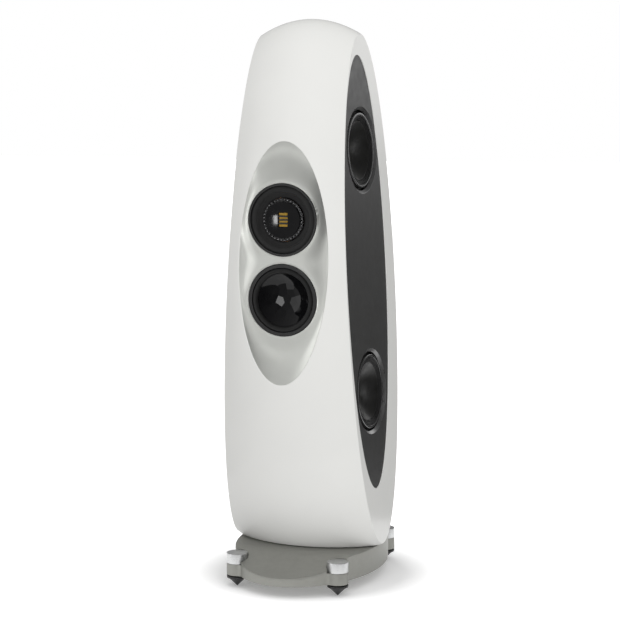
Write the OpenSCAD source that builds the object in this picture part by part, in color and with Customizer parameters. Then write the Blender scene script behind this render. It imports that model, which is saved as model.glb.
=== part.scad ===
/* [Cabinet] */
// Height of the middle of the oval side faces above the floor
oval_z = 622; // [600:1:640]
// Half height of the oval side faces
oval_h = 541; // [520:1:545]
// Half depth of the oval side faces
oval_d = 151; // [145:1:165]
// Middle of the oval side faces, behind the middle of the feet
oval_y = -11; // [-15:1:0]
// Half width at the front edge of a side face, at mid height
half_w = 133.5; // [130:0.5:140]
// Inward lean of each side face towards the top, in degrees
lean = 3; // [2:0.5:3.5]
// Flare of each side face towards the back, in degrees
flare = 1.5; // [1:0.5:2]
// How far the front, underside and rear swell between the side faces
swell = 45; // [40:1:50]
// How far the top swells between the side faces
top_swell = 32; // [28:1:36]
// Thickness of the cabinet's walls
wall = 22; // [20:1:24]
// Height of the flat underside above the floor
under_z = 80; // [78:1:84]

/* [Front] */
// Height of the middle of the oval waveguide
guide_z = 692; // [690:1:695]
// Half width of the oval waveguide
guide_a = 98; // [96:1:100]
// Half height of the oval waveguide
guide_b = 250; // [245:1:252]
// Plane of the front driver rings, ahead of the middle of the feet
ring_y = -184.5; // [-186:0.5:-183]
// Outer radius of both front driver rings
ring_r = 75; // [74:0.5:76]
// Height of the coaxial driver
coax_z = 782; // [780:1:784]
// Height of the lower midrange driver
mid_z = 617; // [615:1:619]

/* [Sides] */
// Half depth of the dark oval side panel
panel_d = 121; // [118:1:123]
// Half height of the dark oval side panel
panel_h = 456.5; // [450:0.5:465]
// Thickness of the dark side panel
panel_t = 6; // [5:0.5:7]
// Outer radius of the woofers' bevelled openings
bevel_r = 91; // [90:0.5:92]
// Inner radius of the woofers' bevelled openings
opening_r = 84; // [83:0.5:85]
// Outer radius of the trim ring around a woofer
trim_r = 78; // [77:0.5:79]

/* [Base] */
// Half width of the plinth
plate_a = 156; // [152:1:160]
// Half depth of the plinth
plate_b = 230; // [226:1:234]
// Height of the plinth's flat top above the floor
plate_top = 78; // [77:0.5:78.5]
// Thickness of the plinth's walls and top
plate_t = 12; // [10:1:14]
// Height of the plinth's front and rear rims above the floor
ramp_z = 43.5; // [42:0.5:46]
// How far the ramps reach inward from the front and rear rims
ramp_l = 100; // [90:1:110]
// Half distance between the feet, side to side
foot_x = 113; // [110:1:116]
// Half distance between the feet, front to back
foot_y = 160; // [156:1:164]
// Radius of the feet and of their bosses
foot_r = 22.4; // [21:0.1:24]
// Height of the plinth's underside above the floor
plate_z = 25.5; // [25:0.5:27]
// Height of the bosses' tops above the floor
boss_z = 50.3; // [50:0.1:52]
// Height of the foot caps
cap_h = 22; // [20:1:24]

/* [Hidden] */
SIDES = ["right", "left"];
LEVELS = ["upper", "lower"];
CORNERS = ["front_right", "front_left", "rear_right", "rear_left"];
WOOFERS = [for (side = SIDES) for (level = LEVELS) str(side, "_", level)];

$fn = 96;
// Gap between pieces that are glued or screwed together
fit = 0.2;
// Gap between pieces that move past each other
clear = 0.3;
// Radial gap of a screw, pin or cap in its bore
bore_fit = 0.05;
// Overshoot of a cutting shape past the face it opens
over = 1;
// Bevel along the edges of the driver rings
edge = 1;
// Gap around a driver's frame in its hole
frame_gap = 0.5;
// Size of a cutting block that is larger than the whole cabinet
block = 1000;
// Steps around the oval and across the width of the cabinet's skin
around = 56;
across = 8;
// Steps around a flat oval outline
oval_steps = 96;
// Steps along a turned profile
profile_steps = 16;
front_y = oval_y - oval_d;

white = [0.9, 0.9, 0.88];
silver = [0.74, 0.74, 0.72];
dark = [0.28, 0.28, 0.29];
black = [0.06, 0.06, 0.07];
steel = [0.7, 0.7, 0.72];
iron = [0.45, 0.45, 0.47];
ferrite = [0.15, 0.15, 0.15];
plate_grey = [0.55, 0.55, 0.52];
aluminium = [0.8, 0.8, 0.8];
gold = [0.85, 0.7, 0.35];
copper = [0.75, 0.42, 0.2];
cloth = [0.8, 0.6, 0.25];
fibreboard = [0.7, 0.55, 0.38];
board_green = [0.15, 0.35, 0.2];

// Centres on a side face from the oval's middle, [backward, upward]: upper and lower woofer, panel
woofer_at = [[-20, 300], [-28, -208]];
panel_at = [-25.5, 40.5];

// Woofer. Heights are outward from the side face, and radii from the woofer's axis
woofer_hole_r = 80;
woofer_hole_depth = 54;
seat_r = 88;
seat_z = -18;
flange_t = 4;
trim_in_r = 73;
trim_z = -3;
cone_r = 62;
cone_z = -9;
cone_depth = 32;
cone_t = 1.2;
surround_top_z = -4.2;
surround_waves = 3;
surround_wave_h = 0.8;
coil_r = 25;
coil_half = 0.6;
spider_gap = 1;
coil_span = [-88, -37.5];
spider_r = 54;
spider_z = -54;
// Basket: outside radius at its rear plate, the plate's bore, its wall, and its rear face
basket_r = 52;
basket_bore_r = 30;
basket_t = 3;
basket_z = -70;
// Windows in the basket's wall: how many, their radius and their middle
basket_windows = 6;
basket_window_r = 12;
basket_window_z = -42;
// Motors: thickness of the iron plates, thickness of the magnet, and the magnet's radius
woofer_motor = [8, 18, 60];
mid_motor_size = [6, 14, 48];
// A motor's gaps: coil to front plate, coil to pole, coil to magnet, and plate edge to magnet edge
plate_gap = 1.5;
pole_gap = 0.8;
magnet_gap = 9;
plate_step = 3;

// Waveguide: whole depth behind the ring plane, back plate, rim, and the rim's width
guide_t = 35;
guide_plate = 16;
guide_rim = 11;
guide_lip = 5;
guide_foot_r = 88;
collar_w = 2;
// Depth to which the cabinet is opened behind the waveguide
opening_y = -120;
// Front drivers. Heights are forward from the ring plane
ring_t = 4;
front_hole_r = 70;
rubber_t = 1;
mid_ring_in_r = 67.2;
mid_roll = [55, 67];
mid_cone_r = 54.5;
mid_cone_depth = 24;
mid_face_z = -5;
mid_coil_r = 19;
mid_coil_span = [-66, -27.4];
mid_spider_r = 43;
mid_spider_z = -40;
mid_basket_z = -52;
// Front drivers' frames: outside radius at the rear, rear bore, wall, and depth of the neck
mid_frame = [44, 22, 3, 8];
coax_frame = [59.5, 47, 2, 10];
coax_ring_in_r = 70.2;
coax_roll = [57, 69.8];
coax_roll_z = -3;
coax_roll_h = 2.4;
coax_roll_t = 0.9;
coax_coil_r = 45;
coax_coil_half = 0.4;
coax_coil_span = [-50, -10.4];
coax_spider_z = -30;
coax_magnet_r = 62;
coax_plate_r = 60;
coax_plate_gap = 1.2;
coax_magnet_gap = 5;
// Coaxial cone, from the coil to the surround: radius of its bend, and three heights
coax_bend_r = 50;
coax_cone_z = [-9, -7, -3.2];
coax_cone_t = 1;
// The coaxial magnet's faces from front to rear: front plate, magnet, rear plate
coax_levels = [-38, -44, -58, -64];
// Slotted ring around the tweeter
slot_tube_r = [38, 43.9];
slot_top = -5;
slots = 30;
slot_r = 1.6;
slot_depth = 3;
// Tweeter: face height, window [wide, high], window depth, bars and foil
tweeter_face = -3;
window = [22, 31];
window_z = -9;
bar_h = 3.4;
bar_z = -6.4;
bar_t = 2.4;
ribbon_pitch = 7.4;
foil_w = 20;
foil_h = 28;
foil_z = -8.2;
foil_t = 0.5;
pleats = 20;
pleat_h = 1.2;

// Inside the cabinet
floor_t = wall - 4;
brace_z = 685;
brace_t = 15;
brace_ends = [-84, 100];
brace_hole_r = 44;
brace_hole_at = [54, 8];
chamber_x = 70;
chamber_z = [535, 860];
chamber_front = ring_y + guide_t + fit;
chamber_back = -88;
chamber_t = 7;
board_size = [140, 3, 150];
board_y = 20;
board_z = 135;
inductor_x = 42;
inductor_z = 255;
inductor_r = [8, 19];
inductor_h = 20;
capacitor_x = [-48, -16, 16, 48];
capacitor_z = 170;
capacitor_r = 12;
capacitor_h = 50;
resistor_x = [-45, -5, 35];
resistor_z = 145;
resistor_size = [24, 9, 9];

// Terminals in the rear
tray_x = 50;
tray_z = [178, 262];
tray_y = 96;
tray_t = 4;
tray_deep = 60;
// Where the tray's rim meets the cabinet's rear at the tray's foot, and its slope
tray_rim_y = 115;
tray_rim_slope = 16.7;
stud_x = 20;
stud_z = 215;
stud_r = 3.9;
stud_end = 124;
stud_tail = 11;
nut_r = 7;
nut_h = 6;
collar_h = 3;
socket_r = 2.1;
socket_l = 20;
cap_out_r = 8.5;
cap_l = 18;

// Reflex port in the underside
port_y = -42;
port_r = 29;
port_t = 3;
port_top = 230;
port_flange = 16;
port_flare = 5;
port_flare_h = 6;
port_lip = 2;

// How much of a ramp's rise comes from its curve; the rest is straight
ramp_bend = 0.55;
// Gap around a foot cap in its pocket, and around the port's flange in the plinth
pocket_gap = 0.7;
port_gap = 2;

// Pads and bolts between the cabinet and the plinth, on each side: [x, y]
spacer_at = [[70, -38], [70, 30]];
spacer_r = 12;
bolt_r = 4;
bolt_head_r = 6.8;
bolt_head_h = 7.5;
bolt_in = 14;
bolt_end_gap = 0.5;

// Feet
spike_r = 6;
tip_r = 1.5;
spike_rim_z = 23.5;
spike_rim_h = 5;
spike_step = 3;
spike_short = 5;
washer_w = 5;
cap_top_t = 3;

// Half width of the cabinet on the side face, at depth y and height z
function side_x(y, z) = half_w - tan(lean) * (z - oval_z) + tan(flare) * (y - front_y);

// Swell of the skin where the oval's angle is a
function swell_at(a) = swell + (top_swell - swell) * pow(max(0, sin(a)), 2);

// A point of the skin, inset by t, at the oval's angle a and across the width at s from -1 to 1
function skin_point(a, s, t) =
    let (y = oval_y + (oval_d - t) * cos(a), z = oval_z + (oval_h - t) * sin(a))
    let (n = [cos(a) / oval_d, sin(a) / oval_h])
    let (out = n / norm(n) * swell_at(a) * (1 - s * s))
    [s * (side_x(y, z) - t), y + out[0], z + out[1]];

module skin(t) {
    row = across + 1;
    points = [for (i = [0 : around - 1]) for (k = [0 : across])
        skin_point(360 * i / around, 2 * k / across - 1, t)];
    strips = [for (i = [0 : around - 1]) for (k = [0 : across - 1])
        let (j = (i + 1) % around)
        [i * row + k, i * row + k + 1, j * row + k + 1, j * row + k]];
    left = [for (i = [0 : around - 1]) i * row];
    right = [for (i = [around - 1 : -1 : 0]) i * row + across];
    polyhedron(points, concat(strips, [left, right]));
}

module oval(a, b) {
    step = 360 / oval_steps;
    polygon([for (i = [0 : oval_steps - 1]) [a * cos(i * step), b * sin(i * step)]]);
}

// Stands its children on the front driver plane at height z, their +Z pointing forward
module at_front(z) {
    translate([0, ring_y, z]) rotate([90, 0, 0]) children();
}

module each_front() {
    for (z = [coax_z, mid_z]) at_front(z) children();
}

// Puts its children on a side face: +Z points outward, +X down and +Y to the back
module on_side(side) {
    mirror([side == "left" ? 1 : 0, 0, 0])
        translate([side_x(oval_y, oval_z), oval_y, oval_z])
            rotate([0, -lean, -flare])
                rotate([0, 90, 0])
                    children();
}

module at_woofer(side, level) {
    place = woofer_at[level == "upper" ? 0 : 1];
    on_side(side) translate([-place[1], place[0], 0]) children();
}

module each_woofer() {
    for (side = SIDES, level = LEVELS) at_woofer(side, level) children();
}

module at_corner(corner) {
    x = corner == "front_right" || corner == "rear_right" ? foot_x : -foot_x;
    y = corner == "front_right" || corner == "front_left" ? -foot_y : foot_y;
    translate([x, y, 0]) children();
}

module each_foot() {
    for (corner = CORNERS) at_corner(corner) children();
}

module each_spacer() {
    for (s = [-1, 1], p = spacer_at) translate([s * p[0], p[1], 0]) children();
}

module ring(r1, r2, z1, z2) {
    translate([0, 0, z1]) difference() {
        cylinder(r = r2, h = z2 - z1);
        translate([0, 0, -over]) cylinder(r = r1, h = z2 - z1 + 2 * over);
    }
}

// Everything below height z
module below(z) {
    translate([-block / 2, -block / 2, z - block]) cube(block);
}

module panel_outline(gap) {
    translate([-panel_at[1], panel_at[0], 0]) oval(panel_h - gap, panel_d - gap);
}

module cabinet_shell() {
    color(white) difference() {
        skin(0);
        difference() {
            skin(wall);
            below(under_z + floor_t);
        }
        below(under_z);
        translate([0, opening_y, guide_z]) rotate([90, 0, 0])
            linear_extrude(block / 2) oval(guide_a + fit, guide_b + fit);
        for (side = SIDES) on_side(side)
            translate([0, 0, -panel_t]) linear_extrude(panel_t + over) panel_outline(0);
        each_woofer() {
            translate([0, 0, seat_z]) cylinder(r = seat_r, h = over - seat_z);
            translate([0, 0, -woofer_hole_depth]) cylinder(r = woofer_hole_r, h = woofer_hole_depth);
        }
        translate([-tray_x, tray_y, tray_z[0]]) cube([2 * tray_x, block, tray_z[1] - tray_z[0]]);
        translate([0, port_y, under_z - over]) cylinder(r = port_r + port_t + fit, h = floor_t + 2 * over);
        each_spacer() translate([0, 0, under_z - over]) cylinder(r = bolt_r + bore_fit, h = bolt_in + over);
    }
}

module front_waveguide() {
    plate_back = ring_y + guide_t;
    color(silver) difference() {
        union() {
            translate([0, plate_back, guide_z]) rotate([90, 0, 0])
                linear_extrude(guide_plate) oval(guide_a, guide_b);
            translate([0, plate_back - guide_plate, guide_z]) rotate([90, 0, 0])
                linear_extrude(guide_rim) difference() {
                    oval(guide_a, guide_b);
                    oval(guide_a - guide_lip, guide_b - guide_lip);
                }
            each_front() translate([0, 0, guide_plate - guide_t])
                cylinder(r1 = guide_foot_r, r2 = ring_r + collar_w, h = guide_t - guide_plate - ring_t);
        }
        each_front() translate([0, 0, -guide_t - over]) cylinder(r = front_hole_r, h = guide_t + 2 * over);
    }
}

module side_panel(side) {
    color(dark) on_side(side) difference() {
        translate([0, 0, -panel_t]) linear_extrude(panel_t) panel_outline(fit);
        for (p = woofer_at) translate([-p[1], p[0], 0]) {
            translate([0, 0, -panel_t - over]) cylinder(r = opening_r, h = over + 2 * fit);
            translate([0, 0, -panel_t]) cylinder(r1 = opening_r, r2 = bevel_r, h = panel_t);
            translate([0, 0, -fit]) cylinder(r = bevel_r, h = over);
        }
    }
}

// A shelf that ties the side walls together between the two levels of woofers
module internal_brace() {
    y = brace_ends;
    x = [for (end = y) side_x(end, brace_z + brace_t) - wall - clear];
    color(fibreboard) translate([0, 0, brace_z]) difference() {
        linear_extrude(brace_t) polygon([[-x[0], y[0]], [x[0], y[0]], [x[1], y[1]], [-x[1], y[1]]]);
        for (s = [-1, 1]) translate([s * brace_hole_at[0], brace_hole_at[1], -over])
            cylinder(r = brace_hole_r, h = brace_t + 2 * over);
    }
}

// The sealed box behind the two front drivers
module mid_chamber() {
    depth = chamber_back - chamber_front;
    height = chamber_z[1] - chamber_z[0];
    color(fibreboard) translate([-chamber_x, chamber_front, chamber_z[0]]) difference() {
        cube([2 * chamber_x, depth, height]);
        translate([chamber_t, -over, chamber_t])
            cube([2 * (chamber_x - chamber_t), depth - chamber_t + over, height - 2 * chamber_t]);
    }
}

module crossover_board() {
    color(board_green) translate([-board_size[0] / 2, board_y, board_z]) cube(board_size);
}

// Air coils, capacitors and resistors on the front of the board
module crossover_parts() {
    color(copper) for (x = [-inductor_x, 0, inductor_x])
        translate([x, board_y, inductor_z]) rotate([90, 0, 0])
            ring(inductor_r[0], inductor_r[1], 0, inductor_h);
    color(gold) for (x = capacitor_x)
        translate([x, board_y - capacitor_r, capacitor_z]) cylinder(r = capacitor_r, h = capacitor_h);
    color(white) for (x = resistor_x)
        translate([x, board_y - resistor_size[1], resistor_z]) cube(resistor_size);
}

module terminal_tray() {
    gap = [fit, 0, fit];
    low = [-tray_x, tray_y, tray_z[0]] + gap;
    size = [2 * tray_x, tray_deep, tray_z[1] - tray_z[0]] - 2 * gap;
    color(black) difference() {
        translate(low) cube(size);
        translate(low + [tray_t, tray_t, tray_t]) cube(size - [2 * tray_t, 0, 2 * tray_t]);
        translate([0, tray_rim_y, tray_z[0]]) rotate([-tray_rim_slope, 0, 0])
            translate([-block / 2, 0, -block / 2]) cube(block);
        for (x = [-stud_x, stud_x]) at_stud(x) cylinder(r = stud_r + 2 * bore_fit, h = tray_t + 2 * over);
    }
}

// Puts its children on a terminal's axis, just inside the tray's back, their +Z pointing to the rear
module at_stud(x) {
    translate([x, tray_y - over, stud_z]) rotate([-90, 0, 0]) children();
}

module terminal_studs() {
    shank = stud_end - tray_y + over;
    color(gold) for (x = [-stud_x, stud_x]) at_stud(x) difference() {
        union() {
            translate([0, 0, -stud_tail]) cylinder(r = stud_r, h = shank + stud_tail);
            translate([0, 0, over - fit - nut_h]) cylinder(r = nut_r, h = nut_h, $fn = 6);
            translate([0, 0, over + tray_t + fit]) cylinder(r = cap_out_r, h = collar_h);
        }
        translate([0, 0, shank - socket_l]) cylinder(r = socket_r, h = socket_l + over);
    }
}

module terminal_cap(x) {
    start = over + tray_t + fit + collar_h + clear;
    color(gold) at_stud(x) ring(stud_r + bore_fit, cap_out_r, start, start + cap_l);
}

module reflex_port() {
    out_r = port_r + port_t;
    rim_r = port_r + port_flange;
    color(black) translate([0, port_y, 0]) rotate_extrude() polygon([
        [port_r, port_top], [out_r, port_top], [out_r, under_z - fit], [rim_r, under_z - fit],
        [rim_r, under_z - port_lip], [port_r + port_flare, under_z - port_flare_h], [port_r, under_z]
    ]);
}

// Everything above the front and rear ramps, lowered by drop
module above_ramps(drop) {
    steps = [for (i = [0 : profile_steps]) i / profile_steps];
    rise = plate_top - ramp_z;
    slope = [for (t = steps) [t * ramp_l - plate_b,
        ramp_z - drop + rise * ((1 - ramp_bend) * t + ramp_bend * t * t)]];
    for (s = [0, 1]) mirror([0, s, 0])
        translate([-block / 2, 0, 0]) rotate([90, 0, 90]) linear_extrude(block) polygon(concat(
            [[-block, ramp_z - drop]], slope, [[ramp_l - plate_b, block], [-block, block]]
        ));
}

// The plinth's body, or its hollow when drawn in by t
module plinth(t) {
    bottom = t > 0 ? plate_z - over : plate_z;
    difference() {
        translate([0, 0, bottom]) linear_extrude(plate_top - t - bottom) oval(plate_a - t, plate_b - t);
        above_ramps(t);
        each_foot() translate([0, 0, boss_z - t]) cylinder(r = foot_r + pocket_gap + t, h = block);
    }
}

module base_plate() {
    color(plate_grey) difference() {
        union() {
            difference() {
                plinth(0);
                plinth(plate_t);
            }
            each_foot() translate([0, 0, plate_z]) cylinder(r = foot_r, h = boss_z - plate_z);
        }
        each_foot() translate([0, 0, plate_z - over])
            cylinder(r = spike_r + bore_fit, h = boss_z - plate_z + 2 * over);
        each_spacer() translate([0, 0, plate_z]) cylinder(r = bolt_r + fit, h = block);
        translate([0, port_y, plate_z]) cylinder(r = port_r + port_flange + port_gap, h = block);
    }
}

module base_spacers() {
    color(black) each_spacer() ring(bolt_r + fit, spacer_r, plate_top, under_z);
}

module base_bolts() {
    seat = plate_top - plate_t;
    color(steel) each_spacer() {
        translate([0, 0, seat - bolt_head_h]) cylinder(r = bolt_head_r, h = bolt_head_h);
        translate([0, 0, seat]) cylinder(r = bolt_r, h = under_z + bolt_in - seat - bolt_end_gap);
    }
}

module foot_washers() {
    color(steel) each_foot() ring(spike_r + clear, spike_r + washer_w, spike_rim_z + clear, plate_z);
}

module foot_cap(corner) {
    color(aluminium) at_corner(corner) translate([0, 0, boss_z + clear]) difference() {
        cylinder(r = foot_r, h = cap_h);
        translate([0, 0, -over]) cylinder(r = spike_r + clear, h = cap_h + over - cap_top_t);
    }
}

module foot_spike(corner) {
    color(black) at_corner(corner) {
        cylinder(r1 = tip_r, r2 = foot_r - spike_step, h = spike_rim_z - spike_rim_h);
        translate([0, 0, spike_rim_z - spike_rim_h]) cylinder(r = foot_r, h = spike_rim_h);
        cylinder(r = spike_r, h = boss_z + cap_h - spike_short);
    }
}

module woofer_baskets() {
    out_r = seat_r - fit;
    wall_r = woofer_hole_r - frame_gap;
    inner_r = basket_r - basket_t;
    color(black) each_woofer() difference() {
        rotate_extrude() polygon([
            [trim_in_r, trim_z - edge / 2], [trim_in_r + edge / 2, trim_z], [trim_r - edge, trim_z],
            [trim_r, trim_z - edge], [trim_r, seat_z + flange_t], [out_r, seat_z + flange_t],
            [out_r, seat_z], [wall_r, seat_z], [wall_r, seat_z - flange_t],
            [basket_r, basket_z + flange_t], [basket_r, basket_z], [basket_bore_r, basket_z],
            [basket_bore_r, basket_z + basket_t], [inner_r, basket_z + basket_t],
            [inner_r, basket_z + 2 * basket_t], [trim_in_r, seat_z - flange_t]
        ]);
        for (i = [0 : basket_windows - 1]) rotate([0, 0, 360 * i / basket_windows])
            translate([basket_bore_r, 0, basket_window_z]) rotate([0, 90, 0])
                cylinder(r = basket_window_r, h = woofer_hole_r);
    }
}

// Front plate, magnet, and back plate with its pole, behind a coil; z is the front plate's face
module motor(coil, half, z, size) {
    plate = size[0];
    magnet = size[1];
    wide = size[2];
    color(iron) ring(coil + plate_gap, wide - plate_step, z - plate, z);
    color(ferrite) ring(coil + magnet_gap, wide, z - plate - magnet, z - plate);
    color(iron) translate([0, 0, z - 2 * plate - magnet]) cylinder(r = wide - plate_step, h = plate);
    color(iron) translate([0, 0, z - plate - magnet])
        cylinder(r = coil - half - pole_gap, h = plate + magnet);
}

// A thin turned skin between two radii, its face following heights
module bowl(radii, heights, thick) {
    last = len(radii) - 1;
    rotate_extrude() polygon(concat(
        [for (i = [0 : last]) [radii[i], heights[i]]],
        [for (i = [last : -1 : 0]) [radii[i], heights[i] - thick]]
    ));
}

// A dished cone: its rim at radius r and height z, its middle lower by depth
module dish(r, z, depth, thick) {
    radii = [for (i = [0 : profile_steps]) r * i / profile_steps];
    color(black) bowl(radii, [for (q = radii) z - depth * (1 - q * q / (r * r))], thick);
}

// A half roll of rubber between two radii
module roll(inner, outer, z) {
    half = (outer - inner) / 2;
    color(black) rotate_extrude() intersection() {
        translate([inner + half, z]) difference() {
            circle(r = half);
            circle(r = half - rubber_t);
        }
        translate([inner, z]) square([outer - inner, half]);
    }
}

// A corrugated ring that centres a coil
module spider(inner, outer, z) {
    waves = 4;
    wave_h = 1.2;
    thick = 0.7;
    steps = 8 * waves;
    radii = [for (i = [0 : steps]) inner + (outer - inner) * i / steps];
    color(cloth) bowl(radii, [for (i = [0 : steps]) z + wave_h * sin(360 * waves * i / steps)], thick);
}

// The woofer's corrugated surround, sloping in from the trim ring to the cone
module woofer_surround() {
    inner = cone_r + clear;
    steps = [for (i = [0 : 2 * profile_steps]) i / (2 * profile_steps)];
    color(black) bowl(
        [for (t = steps) inner + (trim_in_r - fit - inner) * t],
        [for (t = steps) cone_z + (surround_top_z - cone_z) * t
            + surround_wave_h * pow(sin(180 * surround_waves * t), 2)],
        rubber_t
    );
}

module coil(r, half, span) {
    color(copper) ring(r - half, r + half, span[0], span[1]);
}

module mid_basket() {
    out_r = front_hole_r - frame_gap;
    back = mid_basket_z;
    t = mid_frame[2];
    neck = mid_frame[3];
    color(black) at_front(mid_z) rotate_extrude() polygon([
        [mid_ring_in_r, 0], [ring_r - edge, 0], [ring_r, -edge], [ring_r, -ring_t], [out_r, -ring_t],
        [out_r, -neck], [mid_frame[0], back + 2 * t], [mid_frame[0], back], [mid_frame[1], back],
        [mid_frame[1], back + t], [mid_frame[0] - t, back + t], [mid_frame[0] - t, back + 2 * t],
        [mid_ring_in_r - edge, -neck], [mid_ring_in_r, edge - neck]
    ]);
}

module coax_basket() {
    out_r = front_hole_r - frame_gap;
    back = coax_levels[0];
    t = coax_frame[2];
    neck = coax_frame[3];
    color(black) at_front(coax_z) rotate_extrude() polygon([
        [coax_ring_in_r, 0], [ring_r - edge, 0], [ring_r, -edge], [ring_r, -ring_t], [out_r, -ring_t],
        [out_r, -neck], [coax_frame[0], back + 2 * t], [coax_frame[0], back], [coax_frame[1], back],
        [coax_frame[1], back + t], [coax_frame[0] - t, back + t], [coax_frame[0] - t, back + 2 * t],
        [out_r - t, -neck], [out_r - t, -ring_t], [coax_ring_in_r, -ring_t]
    ]);
}

module coax_motor() {
    at_front(coax_z) {
        color(iron) ring(coax_coil_r + coax_plate_gap, coax_plate_r, coax_levels[1], coax_levels[0]);
        color(ferrite) ring(coax_coil_r + coax_magnet_gap, coax_magnet_r, coax_levels[2], coax_levels[1]);
        color(iron) ring(slot_tube_r[0], coax_plate_r, coax_levels[3], coax_levels[2]);
    }
}

module coax_surround() {
    inner = coax_roll[0];
    wide = coax_roll[1] - inner;
    steps = [for (i = [0 : profile_steps]) i / profile_steps];
    color(dark) at_front(coax_z) bowl(
        [for (t = steps) inner + wide * t],
        [for (t = steps) coax_roll_z + coax_roll_h * sin(180 * t)],
        coax_roll_t
    );
}

module coax_cone() {
    radii = [coax_coil_r - coax_coil_half, coax_bend_r, coax_roll[0] - clear];
    color(black) at_front(coax_z) bowl(radii, coax_cone_z, coax_cone_t);
}

module coax_slot_ring() {
    color(iron) at_front(coax_z) difference() {
        ring(slot_tube_r[0], slot_tube_r[1], coax_levels[2], slot_top);
        for (i = [0 : slots - 1]) rotate([0, 0, 360 * i / slots])
            translate([(slot_tube_r[0] + slot_tube_r[1]) / 2, 0, slot_top - slot_depth])
                cylinder(r = slot_r, h = slot_depth + over);
    }
}

module tweeter_body() {
    body_r = slot_tube_r[0] - fit;
    back = coax_levels[3];
    color(black) at_front(coax_z) {
        difference() {
            translate([0, 0, back]) cylinder(r = body_r, h = tweeter_face - back);
            translate([-window[0] / 2, -window[1] / 2, window_z]) cube([window[0], window[1], -window_z]);
        }
        for (i = [-1 : 1]) translate([-window[0] / 2, ribbon_pitch * i - bar_h / 2, bar_z])
            cube([window[0], bar_h, bar_t]);
    }
}

// Pleated foil behind the bars
module tweeter_ribbon() {
    step = foil_w / pleats;
    folds = [for (i = [0 : pleats]) [step * i - foil_w / 2, i % 2 == 0 ? 0 : pleat_h]];
    back = [for (i = [pleats : -1 : 0]) folds[i] - [0, foil_t]];
    color(gold) at_front(coax_z) translate([0, foil_h / 2, foil_z]) rotate([90, 0, 0])
        linear_extrude(foil_h) polygon(concat(folds, back));
}

cabinet_shell();
front_waveguide();
for (side = SIDES)
    side_panel(side);
internal_brace();
mid_chamber();
crossover_board();
crossover_parts();
terminal_tray();
terminal_studs();
terminal_cap(stud_x);  // terminal_cap_plus
terminal_cap(-stud_x);  // terminal_cap_minus
reflex_port();
base_plate();
base_spacers();
base_bolts();
foot_washers();
woofer_baskets();
each_woofer() motor(coil_r, coil_half, basket_z, woofer_motor);  // woofer_motors
for (side = SIDES, level = LEVELS) {
    at_woofer(side, level) dish(cone_r, cone_z, cone_depth, cone_t);
    at_woofer(side, level) coil(coil_r, coil_half, coil_span);
    at_woofer(side, level) woofer_surround();
    at_woofer(side, level) spider(coil_r + spider_gap, spider_r, spider_z);
}
mid_basket();
at_front(mid_z) motor(mid_coil_r, coil_half, mid_basket_z, mid_motor_size);  // mid_motor
at_front(mid_z) roll(mid_roll[0], mid_roll[1], mid_face_z);  // mid_surround
at_front(mid_z) dish(mid_cone_r, mid_face_z, mid_cone_depth, 1);  // mid_cone
at_front(mid_z) coil(mid_coil_r, coil_half, mid_coil_span);  // mid_coil
at_front(mid_z) spider(mid_coil_r + spider_gap, mid_spider_r, mid_spider_z);  // mid_spider
coax_basket();
coax_motor();
coax_surround();
coax_cone();
at_front(coax_z) coil(coax_coil_r, coax_coil_half, coax_coil_span);  // coax_coil
at_front(coax_z) spider(coax_coil_r + spider_gap, coax_roll[0], coax_spider_z);  // coax_spider
coax_slot_ring();
tweeter_body();
tweeter_ribbon();
for (corner = CORNERS) {
    foot_cap(corner);
    foot_spike(corner);
}
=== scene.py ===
"""Floorstanding speaker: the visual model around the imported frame."""

import math

import bpy
import numpy as np
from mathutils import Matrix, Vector
from mathutils.geometry import delaunay_2d_cdt


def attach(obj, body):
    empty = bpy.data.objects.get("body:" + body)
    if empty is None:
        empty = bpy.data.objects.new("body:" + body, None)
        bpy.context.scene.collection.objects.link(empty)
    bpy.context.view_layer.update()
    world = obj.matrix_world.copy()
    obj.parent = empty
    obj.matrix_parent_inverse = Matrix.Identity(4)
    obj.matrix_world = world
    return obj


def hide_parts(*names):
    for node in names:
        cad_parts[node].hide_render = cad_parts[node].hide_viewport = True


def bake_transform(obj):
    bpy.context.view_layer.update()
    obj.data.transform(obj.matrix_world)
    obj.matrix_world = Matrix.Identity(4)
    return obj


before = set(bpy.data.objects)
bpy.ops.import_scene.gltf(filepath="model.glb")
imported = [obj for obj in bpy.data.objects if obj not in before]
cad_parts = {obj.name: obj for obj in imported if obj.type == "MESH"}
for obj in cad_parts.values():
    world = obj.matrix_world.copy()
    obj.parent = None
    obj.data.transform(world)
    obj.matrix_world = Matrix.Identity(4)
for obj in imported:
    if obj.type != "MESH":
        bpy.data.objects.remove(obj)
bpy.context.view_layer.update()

MM = 0.001

# Driving values, in millimetres, the same as in the CAD source
OVAL_Y, OVAL_Z, OVAL_D, OVAL_H = -11.0, 622.0, 151.0, 541.0
HALF_W = 133.5
LEAN, FLARE = math.radians(3), math.radians(1.5)
SWELL, TOP_SWELL = 45.0, 32.0
UNDER_Z = 80.0
GUIDE_Z, GUIDE_A, GUIDE_B = 692.0, 98.0, 250.0
RING_Y, RING_R = -184.5, 75.0
COAX_Z, MID_Z = 782.0, 617.0
PANEL_D, PANEL_H, PANEL_AT = 121.0, 456.5, (-25.5, 40.5)
WOOFER_AT = {"upper": (-20.0, 300.0), "lower": (-28.0, -208.0)}
BEVEL_R, OPENING_R, TRIM_R, TRIM_IN_R = 91.0, 84.0, 78.0, 73.0
TRIM_Z, CONE_R, CONE_Z, CONE_DEPTH = -3.0, 62.0, -9.0, 32.0
SURROUND_TOP_Z = -4.2
PANEL_T = 6.0
SEAT_Z = -18.0
FLANGE_R = 87.6
TRAY_X, TRAY_LOW, TRAY_HIGH = 50.0, 178.0, 262.0
PORT_Y, PORT_MOUTH_R = -42.0, 45.5
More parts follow.
